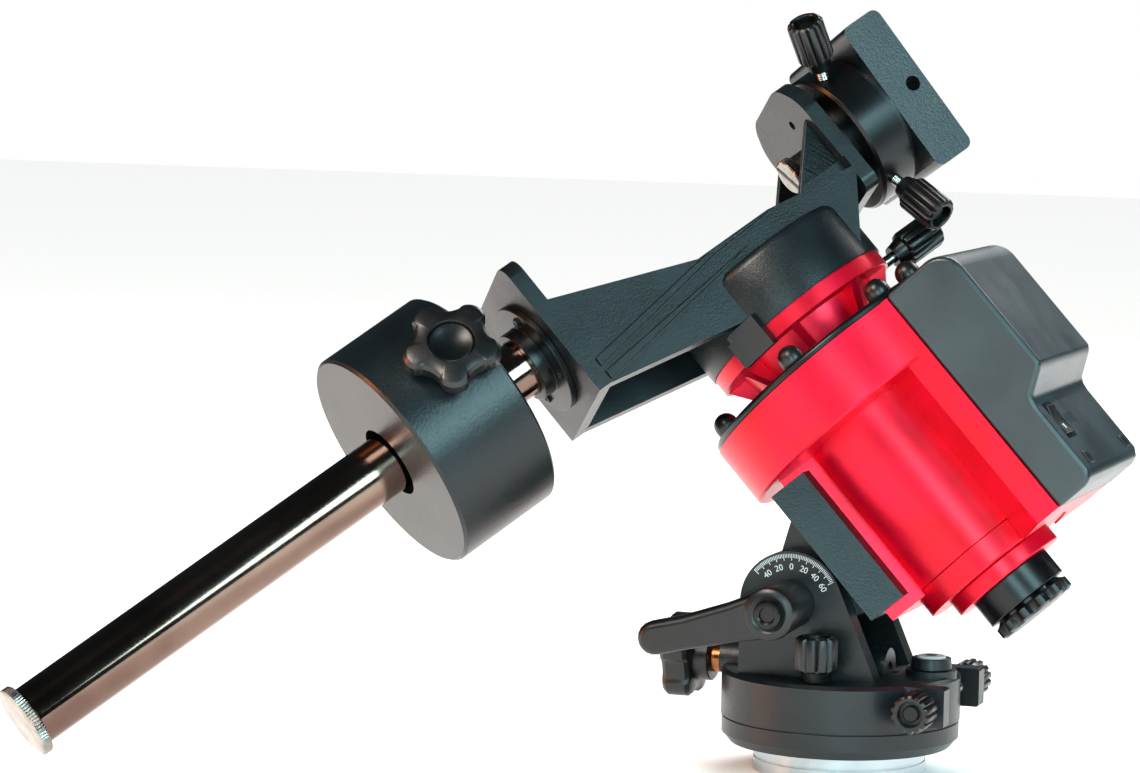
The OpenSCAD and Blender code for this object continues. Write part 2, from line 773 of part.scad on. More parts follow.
module weight_knob_frame() {
    dec() translate([knob_d, 0, 0]) rotate([90 - knob_turn, 0, 0]) children();
}
module counterweight_stud() {
    color("silver") weight_knob_frame() rod_z(shaft_r + 0.3, 44, 3);
}
module counterweight_knob() {
    color("#15181a") weight_knob_frame() difference() {
        union() {
            rod_z(weight_r + 0.2, weight_r + 3, 8);
            rod_z(weight_r + 2, weight_r + 9.6, 13.6);
            for (i = [0:4])
                rotate([0, 0, i * 72 + 20]) translate([13.4, 0, 0])
                    bevelled(weight_r + 2, weight_r + 9.6, 4.6, 1);
        }
        for (i = [0:4])
            rotate([0, 0, i * 72 + 56]) translate([17.2, 0, 0])
                rod_z(weight_r, weight_r + 12, 5.6);
        rod_z(weight_r - cut, 44.02, 3.02);
        rod_z(weight_r + 6, weight_r + 12, 7.4);
    }
}
module counterweight_knob_cap() {
    color("#202426") weight_knob_frame() difference() {
        rod_z(weight_r + 6.05, weight_r + 9, 7.35);
        translate([0, 0, weight_r + 22]) sphere(r = 14.4);
    }
}

// ---- Declination axis ------------------------------------------------------------------------
knob_angles = [45, 156];    // from the polar direction towards the side that faces -Y
module dec_housing() {
    color("#17191b") dec() difference() {
        union() {
            rod_x(upper_d1 + 0.05, disc_d0 + 0.1, 17);
            rod_x(disc_d0, disc_d0 + 1, dec_r - 1, dec_r);
            rod_x(disc_d0 + 1, disc_d1, dec_r);
        }
        rod_x(40, 56, 3 + fit);
        rod_x(52.5, 70, 18 + fit);
        for (a = knob_angles) rotate([a, 0, 0]) translate([55.7, 0, 0]) rod_z(10, 40, 2 + fit);
    }
}
module dec_centre_screw() {
    color("silver") dec() {
        rod_x(29.5, 33.6, 6.4);
        rod_x(33.5, 60, 3);
    }
}
module dec_lock_knob(angle) {
    dec() rotate([angle, 0, 0]) translate([55.7, 0, 0]) {
        rod_z(18.3, 32, 2);
        fluted_knob(29.6, 48.6, 6.3, 12, 4);
    }
}
module dec_lock_knob_upper() { color("#15181a") dec_lock_knob(knob_angles[0]); }
module dec_lock_knob_lower() { color("#15181a") dec_lock_knob(knob_angles[1]); }
module instrument_saddle() {
    color("#1b2023") clamp() difference() {
        union() {
            rod_x(52.9, disc_d1 + gap, 18);
            rod_x(disc_d1 + gap, clamp_d + 0.1, 24);
            translate([clamp_d, -24, -27]) cube([15.4, 11, 57]);
            translate([clamp_d, -24, -27]) cube([5, 59, 57]);
            slab_x_dovetail();
        }
        rod_x(50, 62, 3 + fit);
        translate([clamp_d + 10.2, 0, 1.5]) rod_y(-30, -5, 2.6);
    }
}
// Undercut of the fixed jaw
module slab_x_dovetail() {
    translate([0, 0, -27]) linear_extrude(57)
        polygon([[clamp_d + 4.9, -13.2], [clamp_d + 15.4, -13.2], [clamp_d + 15.4, -9.6],
            [clamp_d + 4.9, -13.1]]);
}
module saddle_jaw() {
    color("#1b2023") clamp() difference() {
        translate([0, 0, -27]) linear_extrude(57)
            polygon([[clamp_d + 5.05, 27], [clamp_d + 5.05, 35], [clamp_d + 15.4, 35],
                [clamp_d + 15.4, 22], [clamp_d + 11, 22]]);
        for (z = [-13, 16]) translate([clamp_d + 10.5, 0, z]) rod_y(20, 40, 2.2 + fit);
    }
}
module saddle_jaw_screws() {
    color("silver") clamp() for (z = [-13, 16])
        translate([clamp_d + 10.5, 0, z]) {
            rod_y(23, 35.1, 2.2);
            rod_y(35, 38, 4);
        }
}

tripod_adapter();
azimuth_ring();
azimuth_post();
azimuth_pivot_bolt();
altazimuth_housing();
bubble_level_cup();
bubble_level_glass();
altitude_scale();
azimuth_lock_knob();
azimuth_adjust_knob_near();
azimuth_adjust_knob_far();
altitude_adjuster_bush();
altitude_worm();
altitude_adjust_knob();
altitude_pivot_bolt();
altitude_lever();
altitude_lever_cap();
altitude_bracket();
dovetail_saddle();
dovetail_clamp_knob();
ra_body();
ra_lower_flange();
ra_lock_ring();
polar_scope_tube();
polar_scope_focus_ring();
polar_scope_lenses();
ra_shaft();
ra_bearings();
worm_wheel();
worm();
worm_bearings();
motor_pinion();
drive_motor();
circuit_board();
battery();
electronics_cover();
power_switch();
cable_sockets();
clutch_disc();
clutch_knobs();
ra_saddle();
ra_saddle_stud();
ra_saddle_knob();
dec_arm();
shaft_flange();
flange_screws();
counterweight_shaft();
shaft_end_cap();
counterweight();
counterweight_stud();
counterweight_knob();
counterweight_knob_cap();
dec_housing();
dec_centre_screw();
dec_lock_knob_upper();
dec_lock_knob_lower();
instrument_saddle();
saddle_jaw();
saddle_jaw_screws();
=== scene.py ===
"""Looks of the equatorial mount around its CAD frame. Metres, Z up."""

import json
import math

import bmesh
import bpy
from mathutils import Matrix, Vector


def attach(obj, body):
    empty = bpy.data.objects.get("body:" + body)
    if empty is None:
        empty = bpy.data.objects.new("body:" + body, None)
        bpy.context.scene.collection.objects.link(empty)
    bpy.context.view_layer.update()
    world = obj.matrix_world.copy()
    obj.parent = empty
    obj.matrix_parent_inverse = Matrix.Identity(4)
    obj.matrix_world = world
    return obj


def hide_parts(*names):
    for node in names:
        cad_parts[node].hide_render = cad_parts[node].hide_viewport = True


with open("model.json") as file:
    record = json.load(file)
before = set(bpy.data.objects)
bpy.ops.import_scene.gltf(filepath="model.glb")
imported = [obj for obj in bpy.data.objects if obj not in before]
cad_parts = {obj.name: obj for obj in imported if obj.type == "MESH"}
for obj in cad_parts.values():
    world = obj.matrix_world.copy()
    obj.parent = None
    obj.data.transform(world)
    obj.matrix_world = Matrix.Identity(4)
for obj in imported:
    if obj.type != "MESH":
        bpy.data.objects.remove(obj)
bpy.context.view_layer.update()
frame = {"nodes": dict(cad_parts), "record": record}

MM = 0.001
TILT = math.radians(42.3)
HOUR = math.radians(38.3)
DEC_TURN = math.radians(9.3)
SMOOTH = math.radians(32)   # sharper folds than this are edges

# Places in millimetres
POLAR_ORIGIN = (15.5, 0, 115.2)
DEC_ABOVE = 90.6            # declination axis, along the polar axis
SADDLE_LOCK_ABOVE = 47.6
DEC_LOCKS_OUT = 55.7        # ring of the two declination locks, along the declination axis
WEIGHT_OUT = -117
ADJUSTERS = (35.4, 0, 28)   # common axis of the two azimuth adjusters
PIVOT_X, PIVOT_Z = -10.7, 59
WORM_Z = 35.2
ARM_HALF = 26
DECK_Z = -9
UPPER_PLATE = 39.5
THREAD_PITCH = 0.7

# Frames: polar has x away from the axis and z along it, dec has x along its axis
WORLD = Matrix.Identity(4)
POLAR = Matrix.Translation(POLAR_ORIGIN) @ Matrix.Rotation(-TILT, 4, "Y")
DEC = POLAR @ Matrix.Translation((0, 0, DEC_ABOVE)) @ Matrix.Rotation(HOUR, 4, "Z")
CLAMP = DEC @ Matrix.Rotation(DEC_TURN, 4, "X")
FACING_NEAR = Matrix.Rotation(math.pi / 2, 4, "X")
FACING_FAR = Matrix.Rotation(-math.pi / 2, 4, "X")
ALONG_X = Matrix.Rotation(math.pi / 2, 4, "Y")


# ---- Materials ---------------------------------------------------------------------------------
def colour(code):
    """An sRGB hex colour as a linear RGBA tuple."""
    out = []
    for i in (0, 2, 4):
        c = int(code[i:i + 2], 16) / 255
        out.append(c / 12.92 if c <= 0.04045 else ((c + 0.055) / 1.055) ** 2.4)
    return (*out, 1.0)


def add(tree, kind, inputs=(), **settings):
    """Adds a node with its settings; inputs are (socket, value or output socket) pairs."""
    node = tree.nodes.new("ShaderNode" + kind)
    for key, value in settings.items():
        setattr(node, key, value)
    for key, value in inputs:
        if isinstance(value, bpy.types.NodeSocket):
            tree.links.new(value, node.inputs[key])
        else:
            node.inputs[key].default_value = value
    return node


def surface(name, dark, light, metallic, rough, spread, grain_mm, depth_mm, cloud_mm=18,
            coat=0.0, ior=1.5, stretch=(1, 1, 1), cells=False, clear=None):
    """A finish with a fine grain, a slow change of tone and a roughness that varies with both."""
    mat = bpy.data.materials.new(name)
    mat.use_nodes = True
    tree = mat.node_tree
    bsdf = tree.nodes["Principled BSDF"]
    place = add(tree, "TexCoord").outputs["Object"]
    vector = add(tree, "Mapping", [("Vector", place), ("Scale", stretch)]).outputs["Vector"]
    cloud = add(tree, "TexNoise", [("Vector", place), ("Scale", 1 / (cloud_mm * MM)),
                                   ("Detail", 4.0), ("Roughness", 0.55)])
    if cells:
        grain = add(tree, "TexVoronoi", [("Vector", vector), ("Scale", 1 / (grain_mm * MM))],
                    feature="SMOOTH_F1").outputs["Distance"]
    else:
        grain = add(tree, "TexNoise", [("Vector", vector), ("Scale", 1 / (grain_mm * MM)),
                                       ("Detail", 3.0)]).outputs[0]
    blend = add(tree, "MapRange", [(0, cloud.outputs[0]), (1, 0.35), (2, 0.65)])
    tone = add(tree, "Mix", [(0, blend.outputs[0]), (6, colour(dark)), (7, colour(light))],
               data_type="RGBA")
    mixed = add(tree, "Math", [(0, cloud.outputs[0]), (1, grain)], operation="MULTIPLY")
    rough_map = add(tree, "MapRange", [(0, mixed.outputs[0]), (1, 0.1), (2, 0.45),
                                       (3, rough - spread), (4, rough + spread)])
    bump = add(tree, "Bump", [("Height", grain), ("Strength", 1.0), ("Distance", depth_mm * MM)])
    for socket, source in (("Base Color", tone.outputs[2]), ("Roughness", rough_map.outputs[0]),
                           ("Normal", bump.outputs[0])):
        tree.links.new(source, bsdf.inputs[socket])
    bsdf.inputs["Metallic"].default_value = metallic
    bsdf.inputs["Coat Weight"].default_value = coat
    bsdf.inputs["Coat Roughness"].default_value = 0.25
    if not metallic:
        bsdf.inputs["IOR"].default_value = ior
    if clear is not None:
        bsdf.inputs["Transmission Weight"].default_value = clear
    return mat


MATS = {
    # Textured powder coat on die castings: near black with a cool sheen. Such a coat's grain is
    # typically a few tenths of a millimetre; it is drawn coarser, at 0.8 mm, so that it shows
    "black_casting": surface("powder_coated_casting", "05090c", "0c161a", 0.0, 0.38, 0.08,
                             0.8, 0.07, coat=0.1, ior=1.5),
    # Red anodising on bead-blasted aluminium: saturated, metallic, with soft pink highlights
    "red_anodised": surface("red_anodised_aluminium", "cf001c", "ee0034", 0.6, 0.35, 0.05,
                            0.45, 0.02, cloud_mm=30, coat=0.12),
    # Turned aluminium, clear anodised: pale grey with faint tool rings
    "bare_aluminium": surface("turned_clear_anodised_aluminium", "b8c4ca", "d3dde2", 1.0, 0.32,
                              0.06, 0.25, 0.008, stretch=(0.15, 0.15, 4)),
    # Black anodised turned aluminium: smoother and a little brighter than the castings
    "black_anodised": surface("black_anodised_aluminium", "040607", "0c1012", 0.25, 0.32, 0.06,
                              0.3, 0.008, coat=0.1),
    # Turned steel with a satin black coat on the weight: even grain with a cool sheen, drawn
    # coarser than life, at 0.9 mm, so that it shows
    "black_steel": surface("satin_coated_steel", "060d10", "0c181c", 0.15, 0.36, 0.05,
                           0.9, 0.11, cloud_mm=40, coat=0.12),
    # Ground and polished bar: mirror-like, with a slow change of tone; the brownish tint of both
    # tones is a painted warm reflection
    "polished_steel": surface("polished_steel_painted_warm_reflection", "6a534b", "8c7468", 1.0, 0.11, 0.05,
                              0.5, 0.004, cloud_mm=60),
    # Plated turned screws, studs and bearings: bright, slightly rough
    "screw_steel": surface("plated_turned_steel", "8c8781", "b3aea6", 1.0, 0.27, 0.07, 0.3,
                           0.01, cloud_mm=6),
    # Glass-filled nylon grips and levers: low gloss with an open moulded texture
    "moulded_black": surface("moulded_nylon", "040506", "0b0e0f", 0.0, 0.38, 0.08, 0.5, 0.02,
                             cloud_mm=8, coat=0.1, ior=1.53),
    # Moulded ABS case: satin, grey-black, with a spark-eroded texture
    "cover_abs": surface("moulded_abs", "1a2629", "273438", 0.0, 0.38, 0.06, 0.6, 0.016,
                         cloud_mm=24, coat=0.2, ior=1.54, cells=True),
    # Turned brass, a little darkened by oil
    "brass": surface("turned_brass", "8f5734", "c07c4d", 1.0, 0.3, 0.08, 0.3, 0.01, cloud_mm=5),
    # Coated optical glass
    "lens_glass": surface("coated_lens_glass", "9bb7c9", "b7cfdb", 0.0, 0.05, 0.02, 1.0, 0.0005,
                          ior=1.52, clear=0.8),
    # Level vial: pale liquid under a clear window
    "level_glass": surface("level_vial_glass", "c6d2d0", "dde5e3", 0.0, 0.08, 0.03, 1.0, 0.0005,
                           ior=1.5, clear=0.1),
    # Solder mask over woven glass laminate
    "board": surface("solder_mask_laminate", "0b3d22", "13552f", 0.0, 0.35, 0.06, 0.9, 0.02,
                     cells=True),
    # Shrink film over cells
    "battery_wrap": surface("shrink_film", "173e86", "2152a8", 0.0, 0.25, 0.05, 1.5, 0.02),
    # Screen-printed white ink for scale and switch marks
    "scale_print": surface("screen_printed_ink", "cdd6d8", "e4eaeb", 0.0, 0.5, 0.06, 0.3, 0.01),
}


# ---- Mesh helpers ------------------------------------------------------------------------------
def flatten(piece):
    """Weights the shading by face area, so flats stay flat beside their rounded edges."""
    mod = piece.modifiers.new("flats", "WEIGHTED_NORMAL")
    mod.keep_sharp = True


def finish(mesh, name, body, slot, replaced=(), bevel=0.0, segments=2):
    """Turns a mesh in metres into a finished piece that rides its body."""
    for face in mesh.polygons:
        face.use_smooth = True
    mesh.set_sharp_from_angle(angle=SMOOTH)
    piece = bpy.data.objects.new(name.replace(" ", "_"), mesh)
    bpy.context.collection.objects.link(piece)
    mesh.materials.clear()
    mesh.materials.append(MATS[slot])
    if bevel:
        mod = piece.modifiers.new("edges", "BEVEL")
        mod.width = bevel * MM
        mod.segments = segments
        mod.limit_method = "ANGLE"
        mod.angle_limit = SMOOTH
        mod.use_clamp_overlap = True
        flatten(piece)
    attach(piece, body)
    if replaced:
        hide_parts(*replaced)
    return piece


def built(name, body, slot, parts, place=WORLD, replaced=(), bevel=0.0, segments=2):
    """A piece made of closed forms; each part is a function that fills a bmesh in millimetres."""
    bm = bmesh.new()
    for part in parts:
        part(bm)
    bmesh.ops.remove_doubles(bm, verts=bm.verts, dist=1e-4)
    bmesh.ops.recalc_face_normals(bm, faces=bm.faces)
    bm.transform(Matrix.Scale(MM, 4) @ place)
    mesh = bpy.data.meshes.new(name)
    bm.to_mesh(mesh)
    bm.free()
    return finish(mesh, name, body, slot, replaced, bevel, segments)


def round_corners(bm, place, corners, low, high, axis, radius):
    """Rounds the edges along one axis that lie at the given corners of a casting."""
    home = (Matrix.Scale(MM, 4) @ place).inverted()
    first, second = [k for k in range(3) if k != axis]
    picked = []
    for edge in bm.edges:
        ends = [home @ v.co for v in edge.verts]
        if all(low <= e[axis] <= high for e in ends) and any(
                all(math.hypot(e[first] - c[0], e[second] - c[1]) < 0.15 for e in ends)
                for c in corners):
            picked.append(edge)
    bmesh.ops.bevel(bm, geom=picked, offset=radius * MM, affect="EDGES", segments=6,
                    profile=0.5, material=-1, clamp_overlap=True)


# Corners that the moulds leave round: frame, points across the axis, span along it, axis, radius
ROUNDED = {
    "dec_arm": [(DEC, [(26.4, 27.2), (-26.4, 27.2)], -81, -74.9, 0, 5.5),
                (DEC, [(24.5, 15.5), (-24.5, 15.5), (16, 25), (-16, 25), (24.5, -23),
                       (-24.5, -23)], 39.4, 45.1, 0, 4.5)],
    "altazimuth_housing": [(WORLD, [(27.9, 21.5), (27.9, 34.5), (42.9, 21.5), (42.9, 34.5)],
                            -26.6, 26.6, 1, 6.2)],
    "instrument_saddle": [(CLAMP, [(67, -27), (82.4, -27), (67, 30), (82.4, 30)],
                           -24.1, 35.1, 1, 4.5)],
}


def refined(node, name, body, slot, bevel=0.4, segments=2):
    """A CAD node's own shape with its flat faces joined and its edges softly broken."""
    bm = bmesh.new()
    bm.from_mesh(frame["nodes"][node].data)
    bmesh.ops.remove_doubles(bm, verts=bm.verts, dist=2e-6)
    bmesh.ops.dissolve_limit(bm, angle_limit=math.radians(0.6), verts=bm.verts, edges=bm.edges)
    for place, corners, low, high, axis, radius in ROUNDED.get(node, ()):
        round_corners(bm, place, corners, low, high, axis, radius)
    mesh = bpy.data.meshes.new(name)
    bm.to_mesh(mesh)
    bm.free()
    return finish(mesh, name, body, slot, (node,), bevel, segments)


def join(bm, part, axis):
    """Adds a finished part to a piece's bmesh at its place."""
    part.transform(axis)
    mesh = bpy.data.meshes.new("part")
    part.to_mesh(mesh)
    part.free()
    bm.from_mesh(mesh)
    bpy.data.meshes.remove(mesh)


def lathe(rings, steps=96, shape=None, axis=WORLD):
    """Profile of (z, radius, depth) spun round Z; shape(angle) then presses in or out by depth."""
    def fill(bm):
        part = bmesh.new()
        profile = [part.verts.new((r, 0, z)) for z, r, _ in rings]
        line = [part.edges.new(pair) for pair in zip(profile, profile[1:])]
        bmesh.ops.spin(part, geom=profile + line, cent=(0, 0, 0), axis=(0, 0, 1),
                       angle=2 * math.pi, steps=steps, use_merge=True)
        bmesh.ops.holes_fill(part, edges=part.edges, sides=0)
        if shape:
            depths = {(round(z, 3), round(r, 3)): depth for z, r, depth in rings}
            for vert in part.verts:
                r = math.hypot(vert.co.x, vert.co.y)
                depth = depths[round(vert.co.z, 3), round(r, 3)]
                angle = math.atan2(vert.co.y, vert.co.x)
                vert.co.xy *= 1 + depth * shape(angle) / r
        join(bm, part, axis)
    return fill


def prism(outline, y0, y1):
    """Outline of (x, z) points extruded along Y."""
    def fill(bm):
        part = bmesh.new()
        face = part.faces.new([part.verts.new((x, y0, z)) for x, z in outline])
        grown = bmesh.ops.extrude_face_region(part, geom=[face])["geom"]
        bmesh.ops.translate(part, vec=(0, y1 - y0, 0),
                            verts=[v for v in grown if isinstance(v, bmesh.types.BMVert)])
        join(bm, part, WORLD)
    return fill


def block(low, high, axis=WORLD):
    """Box between two corners."""
    def fill(bm):
        part = bmesh.new()
        low_v, high_v = Vector(low), Vector(high)
        bmesh.ops.create_cube(part, size=1, matrix=Matrix.Translation((low_v + high_v) / 2)
                              @ Matrix.Diagonal((*(high_v - low_v), 1)))
        join(bm, part, axis)
    return fill


def groove(count, sharp=5):
    """Finger grooves: a narrow rounded pulse that repeats round the form."""
    return lambda a: -(((1 + math.cos(count * a)) / 2) ** sharp)


def grip(a, b, r, flutes, collar, depth=1.1):
    """Fluted hand knob on Z with a stepped collar, rounded rims and a hollow end."""
    c = a + collar
    return lathe([(a, r * 0.6, 0), (c - 0.3, r * 0.76, 0), (c, r * 0.8, 0), (c + 0.1, r - 1.0, 0),
                  (c + 0.5, r - 0.3, depth * 0.7), (c + 1.2, r, depth), (b - 1.4, r, depth),
                  (b - 0.5, r - 0.4, depth * 0.7), (b, r - 1.2, 0), (b, r * 0.66, 0),
                  (b - 0.3, r * 0.62, 0), (b - 3.2, r * 0.6, 0)], flutes * 12, groove(flutes))


def star(low, high, inner, outer, turn, dish=7.4):
    """Five-lobed hand wheel with rounded rims and a dished middle."""
    mid, swing = (inner + outer) / 2, (outer - inner) / 2

    def lobes(a):
        c = math.cos(5 * (a - turn))
        return math.copysign(abs(c) ** 0.6, c)
    return lathe([(low, mid - 3.2, swing * 0.8), (low + 0.5, mid - 1.2, swing * 0.95),
                  (low + 1.8, mid, swing), (high - 2, mid, swing),
                  (high - 0.6, mid - 1.1, swing * 0.95), (high, mid - 3, swing * 0.8),
                  (high, dish + 0.4, 0), (high - 0.6, dish, 0), (high - 2.6, dish - 0.1, 0)],
                 240, lobes)


def carve(piece, parts, place=WORLD):
    """Cuts closed forms out of a piece and makes the result its mesh."""
    bm = bmesh.new()
    for part in parts:
        part(bm)
    bmesh.ops.recalc_face_normals(bm, faces=bm.faces)
    bm.transform(Matrix.Scale(MM, 4) @ place)
    tool_mesh = bpy.data.meshes.new("tool")
    bm.to_mesh(tool_mesh)
    bm.free()
    tool = bpy.data.objects.new("tool", tool_mesh)
    bpy.context.collection.objects.link(tool)
    mod = piece.modifiers.new("cut", "BOOLEAN")
    mod.object = tool
    mod.operation = "DIFFERENCE"
    mod.solver = "EXACT"
    view = bpy.context.evaluated_depsgraph_get()
    result = bpy.data.meshes.new_from_object(piece.evaluated_get(view))
    piece.modifiers.clear()
    piece.data = result
    result.set_sharp_from_angle(angle=SMOOTH)
    flatten(piece)
    bpy.data.objects.remove(tool)


# ---- Castings and other pieces that keep the frame's own shape ---------------------------------
REFINED = [
    ("azimuth_ring", "azimuth ring casting", "base", "black_casting", 0.5),
    ("altazimuth_housing", "altitude yoke casting", "azimuth_head", "black_casting", 0.7),
    ("bubble_level_cup", "level cup", "azimuth_head", "black_casting", 0.3),
    ("altitude_bracket", "tilting bracket casting", "altitude_head", "black_casting", 0.5),
    ("dovetail_saddle", "dovetail saddle casting", "altitude_head", "black_casting", 0.7),
    ("dec_arm", "declination arm casting", "polar_axis", "black_casting", 0.7),
    ("instrument_saddle", "instrument saddle", "dec_axis", "black_casting", 0.6),
    ("saddle_jaw", "saddle jaw", "clamp_jaw", "black_casting", 0.5),
    ("ra_body", "polar head", "altitude_head", "red_anodised", 0.5),
    ("ra_lower_flange", "lower flange", "altitude_head", "red_anodised", 0.4),
    ("ra_lock_ring", "lock ring", "altitude_head", "red_anodised", 0.4),
    ("ra_saddle", "polar saddle", "polar_axis", "red_anodised", 0.4),
    ("polar_scope_tube", "polar scope tube", "altitude_head", "black_anodised", 0.3),
    ("clutch_disc", "clutch disc", "polar_axis", "black_anodised", 0.3),
    ("shaft_flange", "shaft flange", "polar_axis", "black_anodised", 0.3),
    ("dec_housing", "declination housing", "polar_axis", "black_anodised", 0.4),
    ("counterweight", "counterweight body", "weight", "black_steel", 0.5),
    ("counterweight_shaft", "counterweight bar", "polar_axis", "polished_steel", 0.3),
]
castings = {node: refined(node, title, body, slot, width)
            for node, title, body, slot, width in REFINED}

# The deck falls towards the upper plate, and a round crown stands where it crosses the hub
plate_face = UPPER_PLATE - 0.05
over_deck = DECK_Z + 0.2
carve(castings["dec_arm"],
      [prism([(4, over_deck), (plate_face, over_deck), (plate_face, -13.6), (22, -11.6)],
             -ARM_HALF - 1, ARM_HALF + 1)], DEC)
built("arm crown", "polar_axis", "black_casting",
      [lathe([(-40.2, 35.3, 0), (-39.9, 35.5, 0), (-21.5, 35.5, 0), (-19.8, 34.9, 0),
              (-18.6, 33.6, 0), (-18.2, 31.5, 0)], 128)], DEC)
built("arm gussets", "polar_axis", "black_casting",
      [prism([(UPPER_PLATE + 0.1, 9.6), (UPPER_PLATE + 0.1, -15), (20, -13), (20, -10.4)],
             low, low + 3) for low in (-21, 18)], DEC, bevel=0.4)


def rib(side):
    """Two ribs that rise along one wall from the end plate's low corner and run out."""
    low, high = sorted(((ARM_HALF - 0.4) * side, (ARM_HALF + 1.6) * side))
    return [prism([(-75.1, -24.8), (-75.1, -21.6), (-24, -16.6), (-8, -15), (-24, -18)],
                  low, high),
            prism([(-75.1, -19.4), (-75.1, -16.2), (-20, -9.2), (10, -9.8), (-20, -11.2)],
                  low, high)]


built("arm ribs", "polar_axis", "black_casting", rib(1) + rib(-1), DEC, bevel=0.35)

# ---- Hand knobs --------------------------------------------------------------------------------
KNOBS = [
    # name, body, replaced node, place, low, high, radius, flutes, collar, stud (low, high, r)
    ("azimuth lock grip", "azimuth_lock", "azimuth_lock_knob",
     Matrix.Translation((1, -33.2, 0)), 35.2, 50.2, 7.1, 10, 3.5, (19.2, 35.6, 2.5)),
    ("near azimuth grip", "azimuth_adjuster_near", "azimuth_adjust_knob_near",
     Matrix.Translation(ADJUSTERS) @ FACING_NEAR,
     26.8, 42, 6.6, 14, 3, (6.6, 28, 2)),
    ("far azimuth grip", "azimuth_adjuster_far", "azimuth_adjust_knob_far",
     Matrix.Translation(ADJUSTERS) @ FACING_FAR,
     26.8, 42, 6.6, 14, 3, (6.6, 28, 2)),
    ("dovetail clamp grip", "dovetail_clamp", "dovetail_clamp_knob",
     POLAR @ Matrix.Translation((-30.5, 0, -20)) @ FACING_FAR,
     34.8, 49, 7, 12, 3, (26.6, 37, 2.5)),
    ("saddle lock grip", "saddle_lock", "ra_saddle_knob",
     POLAR @ Matrix.Rotation(HOUR, 4, "Z") @ Matrix.Translation((0, 0, SADDLE_LOCK_ABOVE))
     @ ALONG_X, 41.2, 60, 6.2, 12, 4.5, None),
    ("upper declination grip", "dec_lock_upper", "dec_lock_knob_upper",
     DEC @ Matrix.Rotation(math.radians(45), 4, "X") @ Matrix.Translation((DEC_LOCKS_OUT, 0, 0)),
     29.6, 48.6, 6.3, 12, 4, (18.3, 32, 2)),
    ("lower declination grip", "dec_lock_lower", "dec_lock_knob_lower",
     DEC @ Matrix.Rotation(math.radians(156), 4, "X") @ Matrix.Translation((DEC_LOCKS_OUT, 0, 0)),
     29.6, 48.6, 6.3, 12, 4, (18.3, 32, 2)),
]
for title, body, node, place, low, high, r, flutes, collar, stud in KNOBS:
    built(title, body, "moulded_black", [grip(low, high, r, flutes, collar)], place, (node,))
    # Insert seen in the hollow end
    built(title + " insert", body, "black_anodised",
          [lathe([(high - 3.4, r * 0.42, 0), (high - 2.0, r * 0.42, 0), (high - 1.7, r * 0.36, 0)],
                 36)], place)
    if stud:
        # Rolled thread, drawn as rings at its pitch
        low, high, crest = stud
        rings = []
        for i in range(int((high - low) / THREAD_PITCH)):
            z = low + i * THREAD_PITCH
            rings += [(z, crest - 0.22, 0), (z + THREAD_PITCH / 2, crest, 0)]
        built(title + " stud", body, "screw_steel", [lathe(rings, 24)], place)

WEIGHT_KNOB = (DEC @ Matrix.Translation((WEIGHT_OUT, 0, 0))
               @ Matrix.Rotation(math.radians(76), 4, "X"))
built("counterweight star wheel", "weight_lock", "moulded_black",
      [lathe([(39.6, 7.6, 0), (40, 8, 0), (42.6, 8, 0)], 64),
       star(41.4, 49, 12.2, 16.2, math.radians(20))], WEIGHT_KNOB, ("counterweight_knob",))
# Dished cap, hollowed like the inside of a spoon
CAP_RIM, CAP_DISH, CAP_RADIUS = 48.3, 1.3, 6.6
dish = [(45.6, 7.2, 0), (48.0, 7.2, 0), (CAP_RIM, 6.8, 0)]
dish += [(CAP_RIM - CAP_DISH * (1 - (r / CAP_RADIUS) ** 2), r, 0)
         for r in (6.4, 5.4, 4.4, 3.4, 2.4, 1.4, 0.4)]
built("star wheel cap", "weight_lock", "black_anodised", [lathe(dish, 64)], WEIGHT_KNOB,
      ("counterweight_knob_cap",))

ADJUST = Matrix.Translation((0, 0, WORM_Z)) @ Matrix.Rotation(-math.pi / 2, 4, "Y")
built("altitude star wheel", "altitude_adjuster", "moulded_black",
      [lathe([(45, 7.6, 0), (45.4, 8, 0), (51, 8, 0)], 64),
       star(50.2, 60.8, 11.6, 14.8, 0.0, dish=5.5)], ADJUST, ("altitude_adjust_knob",))

# ---- Altitude lever ----------------------------------------------------------------------------
PIVOT = Matrix.Translation((PIVOT_X, 0, PIVOT_Z)) @ Matrix.Rotation(math.radians(-15.2), 4, "Y")
END_X, END_RADIUS = -41.3, 5.7
bar = [(0, -8.2), (-14, -6.9), (-30, -6), (END_X, -END_RADIUS)]
bar += [(END_X + END_RADIUS * math.sin(t), -END_RADIUS * math.cos(t))
        for t in (math.radians(-k) for k in range(20, 180, 20))]
bar += [(END_X, END_RADIUS), (-30, 5.4), (-14, 6.4), (0, 8.2)]
built("clamp lever", "altitude_clamp", "moulded_black", [prism(bar, -50.2, -42.4)], PIVOT,
      ("altitude_lever",), bevel=2.6, segments=5)
built("clamp lever hub", "altitude_clamp", "moulded_black",
      [lathe([(25.5, 7.6, 0), (26.2, 8.1, 0), (40, 8.4, 0), (48.4, 8.8, 0), (50.2, 8.4, 0),
              (50.9, 7.4, 0), (51, 6.2, 0), (50.4, 5.2, 0)], 96,
             axis=FACING_NEAR)], PIVOT)
built("lever screw cap", "altitude_clamp", "black_anodised",
      [lathe([(49.8, 4.6, 0), (51.9, 4.6, 0), (52.5, 4.1, 0), (52.6, 3.2, 0), (52.2, 2.6, 0),
              (51.2, 2.4, 0)], 48, axis=FACING_NEAR)], PIVOT,
      ("altitude_lever_cap",))

